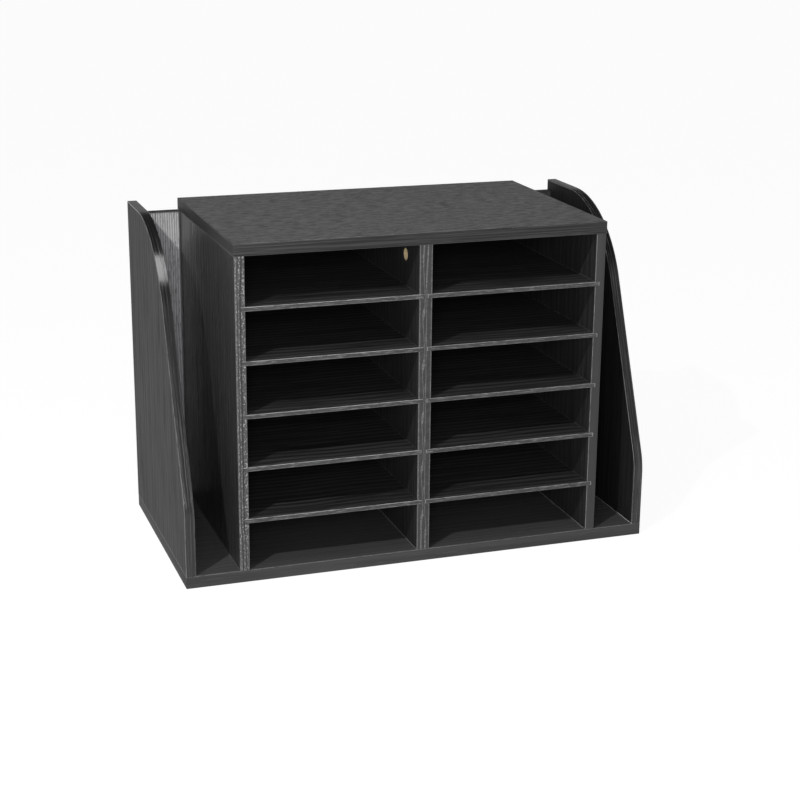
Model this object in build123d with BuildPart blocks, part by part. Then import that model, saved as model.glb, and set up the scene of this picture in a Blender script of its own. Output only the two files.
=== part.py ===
from build123d import *
import os

# Document organizer: two columns of open compartments on a base board, with
# sliding shelves, and an open magazine pocket on each side.
# X is the width, Y the depth with the front at the low end, Z the height.
# The origin is the middle of the underside. All sizes are in millimetres.

# Compartments and pockets
rows = 6
compartment_width = 210
compartment_height = 59
compartment_depth = 281
pocket_width = 53

# Boards
base_thickness = 15
top_thickness = 15
outer_thickness = 12
inner_thickness = 12
divider_thickness = 16
pocket_back_thickness = 12
shelf_thickness = 5.2
back_thickness = 5.2
back_recess = 13.8
top_overhang = 1
pocket_back_gap = 0.8

# Edge bands: how thick they are, and how far their outer corners are rounded
band_thickness = 1
band_rounding = 0.7

# Outer panels: the front edge is straight up to the shoulder, slopes back to
# the brow and ends in a flat crown. Both corners are rounded.
crown_drop = 1
brow_setback = 170
brow_radius = 150
shoulder_height = 81
shoulder_radius = 70

# Grooves for the shelves and for the thin back panel
groove_depth = 6
groove_clearance = 0.15
shelf_end_clearance = 0.5
shelf_rear_clearance = 0.5
back_groove_depth = 5
back_clearance = 0.1

# Cam locks and their bolts, which pull the top board down on the divider
cam_radius = 7.5
cam_back_wall = 3.5
cam_drop = 21
cam_inset = 51
cam_recess = 0.2
cam_clearance = 0.1
cam_slot_length = 7
cam_slot_width = 1.2
cam_slot_depth = 3
bolt_thread_radius = 3.5
bolt_thread_length = 10
bolt_shank_radius = 3
bolt_neck_radius = 2
bolt_neck_length = 3.4
bolt_head_radius = 3.3
bolt_head_height = 3.6
bolt_clearance = 0.3

# Wooden dowels
dowel_radius = 3
dowel_length = 25
dowel_chamfer = 0.6
dowel_clearance = 0.05
dowel_end_room = 0.5
dowel_in_top = 10
dowel_in_side = 8
dowel_inset = 40
dowel_cam_spacing = 32
dowel_height_inset = 60

# Countersunk screws through the base board
screw_length = 35
screw_radius = 2
screw_head_radius = 3.8
screw_tip_length = 4
screw_sink = 0.3
screw_clearance = 0.05
screw_end_room = 0.5
screw_inset = 30
driver_slot_length = 4
driver_slot_width = 0.9
driver_slot_depth = 1.6

# Faces across the width, from the middle outwards
divider_x = divider_thickness / 2
inner_x = divider_x + compartment_width
pocket_x = inner_x + inner_thickness
outer_x = pocket_x + pocket_width
side_x = outer_x + outer_thickness

# Middles of the upright boards and of the spaces between them
column_x = (divider_x + inner_x) / 2
inner_middle_x = (inner_x + pocket_x) / 2
outer_middle_x = (outer_x + side_x) / 2
pocket_back_width = pocket_width - pocket_back_gap
pocket_back_x = outer_x - pocket_back_width / 2

# Faces from front to back. The back panel stands in from the cabinet's rear.
cabinet_depth = compartment_depth + back_thickness + back_recess
front_y = -cabinet_depth / 2
rear_y = cabinet_depth / 2
back_y = front_y + compartment_depth
pocket_back_y = rear_y - pocket_back_thickness / 2

# Heights
upright_height = rows * compartment_height + (rows - 1) * shelf_thickness
underside_z = base_thickness + upright_height
top_z = underside_z + top_thickness
crown_z = top_z - crown_drop
shoulder_z = base_thickness + shoulder_height
shelf_heights = [base_thickness + n * compartment_height + (n - 1) * shelf_thickness
                 for n in range(1, rows)]

# The thin back panel's grooves
back_groove_width = back_thickness + 2 * back_clearance
back_groove_y = back_y + back_thickness / 2
back_groove_span = 2 * (inner_x + back_groove_depth)

# Cam locks along the divider, and the dowels beside them
cam_z = underside_z - cam_drop
cam_depth = divider_thickness - cam_back_wall
cam_places = [front_y + cam_inset, back_y - cam_inset]
divider_dowel_places = [cam_places[0] + dowel_cam_spacing, cam_places[1] - dowel_cam_spacing]

# Upright dowels stand in the inner panels and the divider, level ones in the
# edges of the pocket backs
inner_dowel_places = [front_y + dowel_inset, 0, rear_y - dowel_inset]
upright_dowels = [(side * inner_middle_x, y) for side in (-1, 1) for y in inner_dowel_places]
upright_dowels += [(0, y) for y in divider_dowel_places]
level_dowel_heights = [base_thickness + dowel_height_inset,
                       base_thickness + upright_height / 2,
                       underside_z - dowel_height_inset]

# Screws through the base board into each board that stands on it
panel_screw_places = [front_y + screw_inset, 0, rear_y - screw_inset]
divider_screw_places = [front_y + screw_inset, back_y - screw_inset]
screw_places = [(side * x, y) for side in (-1, 1) for x in (inner_middle_x, outer_middle_x)
                for y in panel_screw_places]
screw_places += [(side * pocket_back_x, pocket_back_y) for side in (-1, 1)]
screw_places += [(0, y) for y in divider_screw_places]
screw_hole_radius = screw_radius + screw_clearance
pilot_depth = screw_length + screw_sink + screw_end_room - base_thickness

os.makedirs("parts", exist_ok=True)


def save(piece, name):
    """Labels a finished piece and writes it."""
    piece.part.label = name
    export_step(piece.part, f"parts/{name}.step")


def level_board(width, depth, thickness, bottom_z):
    """The core of a level board, inside the band round its four edges."""
    with BuildPart() as core:
        with BuildSketch(Plane.XY.offset(bottom_z)):
            Rectangle(width - 2 * band_thickness, depth - 2 * band_thickness)
        extrude(amount=thickness)
    return core.part


def edge_ring(width, depth, thickness, bottom_z):
    """The band round a level board's four edges, rounded on the outside."""
    with BuildPart() as ring:
        with BuildSketch(Plane.XY.offset(bottom_z)):
            Rectangle(width, depth)
        extrude(amount=thickness)
        fillet(ring.edges(), radius=band_rounding)
        with BuildSketch(Plane.XY.offset(bottom_z)):
            Rectangle(width - 2 * band_thickness, depth - 2 * band_thickness)
        extrude(amount=thickness, mode=Mode.SUBTRACT)
    return ring


def front_band(x, width, bottom_z, height):
    """The upright band on a board's front edge, rounded along its two sides."""
    with BuildPart() as band:
        with BuildSketch(Plane.XY.offset(bottom_z)):
            with Locations((x, front_y + band_thickness / 2)):
                Rectangle(width, band_thickness)
        extrude(amount=height)
        fillet(band.edges().filter_by(Axis.Z).group_by(Axis.Y)[0], radius=band_rounding)
    return band.part


def shelf_grooves(*groove_centres):
    """The shelf grooves of a board, open at the front and as deep as the shelves."""
    with BuildPart() as grooves:
        with BuildSketch(Plane.XZ.offset(-front_y)):
            for x in groove_centres:
                for z in shelf_heights:
                    with Locations((x, z + shelf_thickness / 2)):
                        Rectangle(groove_depth, shelf_thickness + 2 * groove_clearance)
        extrude(amount=-compartment_depth)
    return grooves.part


def back_groove(bottom_z, height):
    """The thin back panel's groove, from bottom_z upwards."""
    with BuildPart() as groove:
        with BuildSketch(Plane.XY.offset(bottom_z)):
            with Locations((0, back_groove_y)):
                Rectangle(back_groove_span, back_groove_width)
        extrude(amount=height)
    return groove.part


def drill_pilots(places):
    """Drills the screws' pilot holes up into a board that stands on the base."""
    with Locations(*[Plane((x, y, base_thickness), z_dir=(0, 0, -1)) for x, y in places]):
        Hole(radius=screw_hole_radius, depth=pilot_depth)


def drill_dowels(places, z, direction, depth):
    """Drills upright dowel holes that open at height z, towards direction."""
    with Locations(*[Plane((x, y, z), z_dir=(0, 0, direction)) for x, y in places]):
        Hole(radius=dowel_radius + dowel_clearance, depth=depth + dowel_end_room)


def drill_level_dowels(x, direction, depth):
    """Drills the pocket back's level dowel holes, which open at x towards direction."""
    mouths = [Plane((x, pocket_back_y, z), z_dir=(direction, 0, 0)) for z in level_dowel_heights]
    with Locations(*mouths):
        Hole(radius=dowel_radius + dowel_clearance, depth=depth + dowel_end_room)


def outer_profile(rear, bottom, brow, shoulder, crown, front, brow_round, shoulder_round):
    """An outer panel's outline, drawn flat with depth across and height up."""
    with BuildSketch() as profile:
        with BuildLine():
            Polyline((rear, bottom), (rear, crown), (brow, crown), (front, shoulder),
                     (front, bottom), close=True)
        make_face()
        fillet(profile.vertices().sort_by_distance((brow, crown))[0], radius=brow_round)
        fillet(profile.vertices().sort_by_distance((front, shoulder))[0], radius=shoulder_round)
    return profile.sketch


# The outline of an outer panel, and that of its core inside the band. The core
# is cut from an outline that runs on past the rear and the bottom, where there
# is no band.
brow_y = rear_y - brow_setback
panel_face = outer_profile(rear_y, base_thickness, brow_y, shoulder_z, crown_z, front_y,
                           brow_radius, shoulder_radius)
long_face = outer_profile(rear_y + band_thickness, base_thickness - band_thickness, brow_y,
                          shoulder_z, crown_z, front_y, brow_radius, shoulder_radius)
core_face = offset(long_face, amount=-band_thickness)

# Base board
with BuildPart() as base_board:
    add(level_board(2 * side_x, cabinet_depth, base_thickness, 0))
    add(back_groove(base_thickness - back_groove_depth, back_groove_depth), mode=Mode.SUBTRACT)
    with Locations(*[Plane((x, y, 0), z_dir=(0, 0, -1)) for x, y in screw_places]):
        CounterSinkHole(
            radius=screw_hole_radius,
            counter_sink_radius=screw_head_radius + screw_sink + screw_clearance,
            counter_sink_angle=90,
        )
save(base_board, "base_board")
save(edge_ring(2 * side_x, cabinet_depth, base_thickness, 0), "base_edge_band")

# Top board, over the compartments
top_width = 2 * (pocket_x + top_overhang)
with BuildPart() as top_board:
    add(level_board(top_width, cabinet_depth, top_thickness, underside_z))
    add(back_groove(underside_z, back_groove_depth), mode=Mode.SUBTRACT)
    drill_dowels(upright_dowels, underside_z, -1, dowel_in_top)
    with Locations(*[Plane((0, y, underside_z), z_dir=(0, 0, -1)) for y in cam_places]):
        Hole(radius=bolt_thread_radius + screw_clearance,
             depth=bolt_thread_length + bolt_clearance)
save(top_board, "top_board")
save(edge_ring(top_width, cabinet_depth, top_thickness, underside_z), "top_edge_band")

# Centre divider, grooved on both faces, with the cam locks in its left face
divider_grooves = shelf_grooves(-divider_x + groove_depth / 2, divider_x - groove_depth / 2)
with BuildPart() as centre_divider:
    with BuildSketch(Plane.XY.offset(base_thickness)):
        with Locations((0, (front_y + band_thickness + back_y) / 2)):
            Rectangle(divider_thickness, compartment_depth - band_thickness)
    extrude(amount=upright_height)
    add(divider_grooves, mode=Mode.SUBTRACT)
    drill_pilots([(0, y) for y in divider_screw_places])
    drill_dowels([(0, y) for y in divider_dowel_places], underside_z, 1,
                 dowel_length - dowel_in_top)
    with Locations(*[Plane((-divider_x, y, cam_z), z_dir=(-1, 0, 0)) for y in cam_places]):
        Hole(radius=cam_radius, depth=cam_depth)
    with Locations(*[(0, y, underside_z) for y in cam_places]):
        Hole(radius=bolt_shank_radius + bolt_clearance, depth=cam_drop)
save(centre_divider, "centre_divider")

with BuildPart() as divider_edge_band:
    add(front_band(0, divider_thickness, base_thickness, upright_height))
    add(divider_grooves, mode=Mode.SUBTRACT)
save(divider_edge_band, "divider_edge_band")

# Thin back panel behind the compartments, held in grooves all round
with BuildPart() as back_panel:
    with BuildSketch(Plane.XY.offset(base_thickness - back_groove_depth + back_clearance)):
        with Locations((0, back_groove_y)):
            Rectangle(back_groove_span - 2 * back_clearance, back_thickness)
    extrude(amount=upright_height + 2 * (back_groove_depth - back_clearance))
save(back_panel, "back_panel")

# The boards on each side
for side_name, side in (("left", -1), ("right", 1)):
    side_grooves = shelf_grooves(side * (inner_x + groove_depth / 2))

    with BuildPart() as inner_panel:
        with BuildSketch(Plane.XY.offset(base_thickness)):
            with Locations((side * inner_middle_x, band_thickness / 2)):
                Rectangle(inner_thickness, cabinet_depth - band_thickness)
        extrude(amount=upright_height)
        add(side_grooves, mode=Mode.SUBTRACT)
        add(back_groove(base_thickness, upright_height), mode=Mode.SUBTRACT)
        drill_pilots([(side * inner_middle_x, y) for y in panel_screw_places])
        drill_dowels([(side * inner_middle_x, y) for y in inner_dowel_places], underside_z, 1,
                     dowel_length - dowel_in_top)
        drill_level_dowels(side * pocket_x, side, dowel_in_side)
    save(inner_panel, f"inner_panel_{side_name}")

    with BuildPart() as inner_edge_band:
        add(front_band(side * inner_middle_x, inner_thickness, base_thickness, upright_height))
        add(side_grooves, mode=Mode.SUBTRACT)
    save(inner_edge_band, f"inner_edge_band_{side_name}")

    panel_plane = Plane.YZ.offset(min(side * outer_x, side * side_x))
    with BuildPart() as outer_panel:
        with BuildSketch(panel_plane):
            add(core_face)
            add(panel_face, mode=Mode.INTERSECT)
        extrude(amount=outer_thickness)
        drill_pilots([(side * outer_middle_x, y) for y in panel_screw_places])
        drill_level_dowels(side * outer_x, -side, dowel_in_side)
    save(outer_panel, f"outer_panel_{side_name}")

    with BuildPart() as outer_edge_band:
        with BuildSketch(panel_plane):
            add(panel_face)
        extrude(amount=outer_thickness)
        rim = outer_edge_band.faces().filter_by(Axis.X).edges()
        rim -= rim.filter_by_position(Axis.Y, rear_y - 0.01, rear_y + 0.01)
        rim -= rim.filter_by_position(Axis.Z, base_thickness - 0.01, base_thickness + 0.01)
        fillet(rim, radius=band_rounding)
        with BuildSketch(panel_plane):
            add(core_face)
        extrude(amount=outer_thickness, mode=Mode.SUBTRACT)
    save(outer_edge_band, f"outer_edge_band_{side_name}")

    with BuildPart() as pocket_back:
        with BuildSketch(Plane.XY.offset(base_thickness)):
            with Locations((side * pocket_back_x, pocket_back_y)):
                Rectangle(pocket_back_width, pocket_back_thickness)
        extrude(amount=upright_height)
        drill_pilots([(side * pocket_back_x, pocket_back_y)])
        drill_level_dowels(side * outer_x, side, dowel_length - dowel_in_side)
        drill_level_dowels(side * (outer_x - pocket_back_width), -side,
                           dowel_length - dowel_in_side - pocket_back_gap)
    save(pocket_back, f"pocket_back_{side_name}")

    # Shelves, counted from the bottom, each with a band on its front edge
    shelf_width = compartment_width + 2 * (groove_depth - shelf_end_clearance)
    shelf_depth = compartment_depth - shelf_rear_clearance
    for number, z in enumerate(shelf_heights, start=1):
        with BuildPart() as shelf:
            with BuildSketch(Plane.XY.offset(z)):
                with Locations((side * column_x, front_y + (band_thickness + shelf_depth) / 2)):
                    Rectangle(shelf_width, shelf_depth - band_thickness)
            extrude(amount=shelf_thickness)
        save(shelf, f"shelf_{side_name}_{number}")

        with BuildPart() as shelf_band:
            with BuildSketch(Plane.XY.offset(z)):
                with Locations((side * column_x, front_y + band_thickness / 2)):
                    Rectangle(shelf_width, band_thickness)
            extrude(amount=shelf_thickness)
            fillet(shelf_band.edges().filter_by(Axis.X).group_by(Axis.Y)[0],
                   radius=band_rounding)
        save(shelf_band, f"shelf_band_{side_name}_{number}")

# Cam lock housings: a drum with a driver slot in its face and a well for the
# bolt's head, open at the top
with BuildPart() as cam_locks:
    for y in cam_places:
        with BuildSketch(Plane.YZ.offset(-divider_x + cam_recess)):
            with Locations((y, cam_z)):
                Circle(cam_radius - cam_clearance)
        extrude(amount=cam_depth - cam_recess - cam_clearance)
        with BuildSketch(Plane.YZ.offset(-divider_x + cam_recess)):
            with Locations((y, cam_z)):
                Rectangle(cam_slot_length, cam_slot_width)
                Rectangle(cam_slot_width, cam_slot_length)
        extrude(amount=cam_slot_depth, mode=Mode.SUBTRACT)
        with Locations((0, y, cam_z + cam_radius)):
            Hole(radius=bolt_head_radius + bolt_clearance,
                 depth=cam_radius + bolt_head_height / 2 + bolt_clearance)
save(cam_locks, "cam_locks")

# Cam bolts: thread in the top board, shank and neck in the divider, head in the cam
with BuildPart() as cam_bolts:
    for y in cam_places:
        neck_z = cam_z + bolt_head_height / 2
        shank_z = neck_z + bolt_neck_length
        with BuildSketch(Plane.XY.offset(underside_z)):
            with Locations((0, y)):
                Circle(bolt_thread_radius)
        extrude(amount=bolt_thread_length)
        with BuildSketch(Plane.XY.offset(shank_z)):
            with Locations((0, y)):
                Circle(bolt_shank_radius)
        extrude(amount=underside_z - shank_z)
        with BuildSketch(Plane.XY.offset(neck_z)):
            with Locations((0, y)):
                Circle(bolt_neck_radius)
        extrude(amount=bolt_neck_length)
        with BuildSketch(Plane.XY.offset(neck_z - bolt_head_height)):
            with Locations((0, y)):
                Circle(bolt_head_radius)
        extrude(amount=bolt_head_height)
save(cam_bolts, "cam_bolts")

# Wooden dowels
upright_middle_z = underside_z + dowel_in_top - dowel_length / 2
outer_dowel_x = outer_x + dowel_in_side - dowel_length / 2
inner_dowel_x = pocket_x - dowel_in_side + dowel_length / 2
with BuildPart() as wood_dowels:
    with Locations(*[(x, y, upright_middle_z) for x, y in upright_dowels]):
        Cylinder(radius=dowel_radius, height=dowel_length)
    with Locations(*[Plane((side * x, pocket_back_y, z), z_dir=(1, 0, 0))
                     for side in (-1, 1) for x in (inner_dowel_x, outer_dowel_x)
                     for z in level_dowel_heights]):
        Cylinder(radius=dowel_radius, height=dowel_length)
    chamfer(wood_dowels.edges().filter_by(GeomType.CIRCLE), length=dowel_chamfer)
save(wood_dowels, "wood_dowels")

# Countersunk screws: one is turned about its own axis, then repeated
head_depth = screw_head_radius - screw_radius
with BuildPart() as screw:
    with BuildSketch(Plane.XZ):
        with BuildLine():
            Polyline((0, 0), (screw_head_radius, 0), (screw_radius, head_depth),
                     (screw_radius, screw_length - screw_tip_length), (0, screw_length),
                     close=True)
        make_face()
    revolve(axis=Axis.Z)
    with BuildSketch(Plane.XY):
        Rectangle(driver_slot_length, driver_slot_width)
        Rectangle(driver_slot_width, driver_slot_length)
    extrude(amount=driver_slot_depth, mode=Mode.SUBTRACT)

with BuildPart() as base_screws:
    with Locations(*[(x, y, screw_sink) for x, y in screw_places]):
        add(screw.part)
save(base_screws, "base_screws")
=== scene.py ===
"""Looks of the document organizer: black wood-grain boards, their edge bands and the fittings."""

import logging
import math
from dataclasses import dataclass, replace
from enum import Enum
from typing import Any, ClassVar, Sequence

import bmesh
import bpy
import numpy as np
from bpy.types import Material, Mesh, Node, NodeSocket, NodeTree, Object
from mathutils import Matrix, Vector


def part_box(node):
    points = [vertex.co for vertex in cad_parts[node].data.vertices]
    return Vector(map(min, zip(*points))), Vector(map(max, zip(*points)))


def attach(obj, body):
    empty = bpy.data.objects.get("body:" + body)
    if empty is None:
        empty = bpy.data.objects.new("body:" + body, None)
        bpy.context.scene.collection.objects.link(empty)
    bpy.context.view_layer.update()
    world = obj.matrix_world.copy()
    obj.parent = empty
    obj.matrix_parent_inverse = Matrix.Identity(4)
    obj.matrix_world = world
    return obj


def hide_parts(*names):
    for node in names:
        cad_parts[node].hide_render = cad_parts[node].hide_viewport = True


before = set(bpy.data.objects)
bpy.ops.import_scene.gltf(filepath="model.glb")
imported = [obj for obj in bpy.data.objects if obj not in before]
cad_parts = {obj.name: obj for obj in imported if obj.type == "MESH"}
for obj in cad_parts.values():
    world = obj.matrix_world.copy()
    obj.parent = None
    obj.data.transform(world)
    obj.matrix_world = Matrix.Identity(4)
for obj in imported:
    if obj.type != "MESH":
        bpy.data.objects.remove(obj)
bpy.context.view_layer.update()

MM = 0.001
CABINET = "cabinet"
SIDES = {"left": -1, "right": 1}
SHELF_NUMBERS = range(1, 6)
GROOVE_ROOM = 0.15 * MM
GROOVE_DEPTH = 6 * MM
BAND_DEPTH = 1 * MM
BAND_ROUNDING = 0.7 * MM
TOUCHING = 0.001 * MM
POLE_RADIUS = 0.02 * MM
CUT_DEGREES = 35
PICTURE_SIZE = 800

# The depth at which a board's paper goes over to bare chipboard, and the width of the light lines
# at groove mouths, at a board's foot, at a band's ends and low on the top band's sides. These lines
# are painted highlights in creases and on rounded edges; at groove mouths and band ends they are
# also chipped paper and cut edges.
PAPER_DEPTH = (0.05 * MM, 0.12 * MM)
GROOVE_LINE = 0.8 * MM
FOOT_LINE = (0.7 * MM, 1.1 * MM)
END_LINE = (0.5 * MM, 0.9 * MM)
SIDE_LINE = 1.3 * MM

log = logging.getLogger("document_organizer")

Colour = tuple[float, float, float, float]
Point = tuple[float, float, float]


def grey(value: float) -> Colour:
    """A neutral grey."""
    return (value, value, value, 1.0)


class Grain(Enum):
    """Which way a board's grain runs, as the turn that brings it to the first axis."""

    ALONG_X = (0.0, 0.0, 0.0)
    ALONG_Z = (0.0, math.pi / 2, 0.0)


class Net:
    """Adds shader nodes to one tree and joins them."""

    def __init__(self, tree: NodeTree) -> None:
        """Keeps the tree that the nodes go into."""
        self.tree = tree

    def put(self, socket: NodeSocket, value: Any) -> None:
        """Joins an output to a socket, or sets the socket's own value.

        Args:
            socket: the input that is fed.
            value: an output socket, or a number, vector or colour.
        """
        if isinstance(value, NodeSocket):
            self.tree.links.new(value, socket)
        else:
            socket.default_value = value

    def add(self, kind: str, inputs: dict[Any, Any] | None = None, **settings: Any) -> Node:
        """Adds a node.

        Args:
            kind: the node's type.
            inputs: values or outputs by the input's name or number.
            settings: the node's own properties.

        Returns:
            The new node.
        """
        node = self.tree.nodes.new(kind)
        for key, value in settings.items():
            setattr(node, key, value)
        for key, value in (inputs or {}).items():
            self.put(node.inputs[key], value)
        return node

    def math(self, operation: str, a: Any, b: Any = 0.0) -> NodeSocket:
        """The result of a Math node on a and b."""
        return self.add("ShaderNodeMath", {0: a, 1: b}, operation=operation).outputs[0]

    def plus(self, a: Any, b: Any) -> NodeSocket:
        """The sum of two numbers."""
        return self.math("ADD", a, b)

    def minus(self, a: Any, b: Any) -> NodeSocket:
        """The first number less the second."""
        return self.math("SUBTRACT", a, b)

    def times(self, a: Any, b: Any) -> NodeSocket:
        """The product of two numbers."""
        return self.math("MULTIPLY", a, b)

    def vector(self, operation: str, a: Any, b: Any = (0.0, 0.0, 0.0)) -> NodeSocket:
        """The vector result of a Vector Math node on a and b."""
        return self.add("ShaderNodeVectorMath", {0: a, 1: b}, operation=operation).outputs[0]

    def joined(self, x: Any, y: Any, z: Any) -> NodeSocket:
        """The vector made of three numbers."""
        return self.add("ShaderNodeCombineXYZ", {0: x, 1: y, 2: z}).outputs[0]

    def parts(self, vector: Any) -> Sequence[NodeSocket]:
        """The three numbers of a vector."""
        return self.add("ShaderNodeSeparateXYZ", {0: vector}).outputs

    def ramp(self, value: Any, low: Any, high: Any, to_low: Any = 0.0,
             to_high: Any = 1.0) -> NodeSocket:
        """A smooth step of value from low to high, put out between to_low and to_high."""
        inputs = {0: value, 1: low, 2: high, 3: to_low, 4: to_high}
        return self.add("ShaderNodeMapRange", inputs, interpolation_type="SMOOTHSTEP").outputs[0]

    def scale(self, value: Any, to_low: Any, to_high: Any) -> NodeSocket:
        """A value from 0 to 1 carried straight over to the span from to_low to to_high."""
        return self.add("ShaderNodeMapRange", {0: value, 3: to_low, 4: to_high}).outputs[0]

    def noise(self, place: Any, cells: Point, detail: float = 2.0,
              roughness: float = 0.5) -> NodeSocket:
        """Noise of about so many cells to the unit along each axis.

        Args:
            place: where it is read.
            cells: how many cells there are to the unit, along each axis.
            detail: how many finer layers it has.
            roughness: how strong each is beside the one before it.

        Returns:
            The noise, from 0 to 1.
        """
        inputs = {"Vector": self.vector("MULTIPLY", place, cells), "Scale": 1.0,
                  "Detail": detail, "Roughness": roughness}
        return self.add("ShaderNodeTexNoise", inputs).outputs[0]

    def mix(self, share: Any, a: Any, b: Any) -> NodeSocket:
        """Colour a going over to colour b as share goes from 0 to 1."""
        return self.add("ShaderNodeMix", {0: share, 6: a, 7: b}, data_type="RGBA").outputs[2]

    def group(self, tree: NodeTree, inputs: dict[str, Any]) -> Any:
        """The outputs of a node group placed with its own values."""
        return self.add("ShaderNodeGroup", inputs, node_tree=tree).outputs


def new_group(name: str, vectors: Sequence[str], numbers: Sequence[str],
              outputs: Sequence[str]) -> tuple[Net, Any, Any]:
    """An empty node group with named sockets.

    Args:
        name: the group's name.
        vectors: the names of the inputs that are vectors.
        numbers: the names of the inputs that are numbers.
        outputs: the names of the outputs, which are all numbers.

    Returns:
        The net of the group, its input node's outputs and its output node's inputs.
    """
    tree = bpy.data.node_groups.new(name, "ShaderNodeTree")
    for way, kind, keys in (("INPUT", "Vector", vectors), ("INPUT", "Float", numbers),
                            ("OUTPUT", "Float", outputs)):
        for key in keys:
            tree.interface.new_socket(name=key, in_out=way, socket_type=f"NodeSocket{kind}")
    net = Net(tree)
    return net, net.add("NodeGroupInput").outputs, net.add("NodeGroupOutput").inputs


def build_wood_grain() -> NodeTree:
    """Printed and pressed wood grain, with the grain along the first coordinate.

    The place is wavered across the grain by slow noise. Pores are the peaks of a noise that is
    stretched to Length along the grain and Width across it and repeated at a half, a quarter and
    an eighth of that size; the higher Cover, the lower a peak may be. Figure is a broader noise of
    the same stretch, and Fibre a finer one. Rings is the sine of the distance across the grain,
    one turn to each Pitch, swept to and fro by a slow noise so that the lines wander and close up.

    Returns:
        The group, which puts out Pores, Figure, Fibre and Rings from 0 to 1.
    """
    rarest_peak, cover_gain, peak_edge, sweep_turns = 0.64, 0.2, 0.05, 2.0
    figure_span, fibre_span = (0.28, 0.72), (0.25, 0.75)
    ring_span, ring_break = (-0.1, 0.5), (0.5, 1.2)
    net, given, result = new_group("wood_grain", ("Place",),
                                   ("Length", "Width", "Waver", "Cover", "Pitch"),
                                   ("Pores", "Figure", "Fibre", "Rings"))
    drift = net.minus(net.noise(given["Place"], (11, 40, 40), 1.0), 0.5)
    push = net.times(drift, given["Waver"])
    place = net.vector("ADD", given["Place"], net.joined(0.0, push, push))
    size = net.joined(given["Length"], given["Width"], given["Width"])
    cells = net.vector("DIVIDE", place, size)
    peaks = net.noise(cells, (1, 1, 1), 3.0, 0.7)
    low = net.minus(rarest_peak, net.times(given["Cover"], cover_gain))
    figure = net.noise(cells, (0.3, 0.25, 0.25), 3.0, 0.6)
    fibre = net.noise(cells, (1.7, 1.9, 1.9), 3.0, 0.7)
    across = net.parts(place)
    sweep = net.times(net.noise(place, (6, 9, 9), 1.0), sweep_turns)
    turns = net.plus(net.math("DIVIDE", net.plus(across[1], across[2]), given["Pitch"]), sweep)
    wave = net.math("SINE", net.times(turns, math.tau))
    broken = net.times(net.ramp(wave, *ring_span), net.scale(fibre, *ring_break))
    net.put(result["Pores"], net.ramp(peaks, low, net.plus(low, peak_edge)))
    net.put(result["Figure"], net.ramp(figure, *figure_span))
    net.put(result["Fibre"], net.ramp(fibre, *fibre_span))
    net.put(result["Rings"], net.math("MINIMUM", broken, 1.0))
    return net.tree


def build_board_zones() -> NodeTree:
    """Where a place is on a box-shaped board.

    The three distances to the box's nearest faces are sorted: the middle one is the distance to
    the nearest arris, and the least one is how deep the place is in the board. The distance along
    Thin, across the board's thickness, tells its narrow edges from its broad faces.

    Returns:
        The group, which puts out Arris, near the box's edges, Core, inside its faces, and Rim, on
        its narrow edges.
    """
    net, given, result = new_group("board_zones", ("Place", "Centre", "Half", "Thin"), ("Reach",),
                                   ("Arris", "Core", "Rim"))
    away = net.vector("ABSOLUTE", net.vector("SUBTRACT", given["Place"], given["Centre"]))
    room = net.vector("SUBTRACT", given["Half"], away)
    a, b, c = net.parts(room)
    least = net.math("MINIMUM", net.math("MINIMUM", a, b), c)
    most = net.math("MAXIMUM", net.math("MAXIMUM", a, b), c)
    middle = net.minus(net.minus(net.plus(net.plus(a, b), c), least), most)
    thin = net.add("ShaderNodeVectorMath", {0: room, 1: given["Thin"]}, operation="DOT_PRODUCT")
    near = net.math("DIVIDE", middle, given["Reach"])
    net.put(result["Arris"], net.ramp(near, 0.0, 1.0, 1.0, 0.0))
    net.put(result["Core"], net.ramp(least, *PAPER_DEPTH))
    net.put(result["Rim"], net.ramp(thin.outputs["Value"], *PAPER_DEPTH))
    return net.tree


def build_groove_arrises() -> NodeTree:
    """Fine light lines where saw cuts, repeated up an upright board, meet its face: chipped paper,
    lightened as a painted highlight in the crease where each shelf enters.

    The height above Foot is wrapped at Pitch, which is one shelf and one space. The line lies
    just above the wrap, where the next shelf's top meets the board. Side is 1 or -1 where only the
    half of the board beyond Middle or before it is cut, and 0 where both faces are.

    Returns:
        The group, which puts out Line from 0 to 1.
    """
    net, given, result = new_group("groove_arrises", ("Place",),
                                   ("Foot", "Pitch", "Reach", "Middle", "Side"), ("Line",))
    x, _, z = net.parts(given["Place"])
    height = net.plus(net.minus(z, given["Foot"]), given["Pitch"])
    above = net.math("MODULO", height, given["Pitch"])
    away = net.times(net.minus(x, given["Middle"]), given["Side"])
    net.put(result["Line"], net.times(net.math("LESS_THAN", above, given["Reach"]),
                                      net.math("GREATER_THAN", away, -TOUCHING)))
    return net.tree


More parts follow.
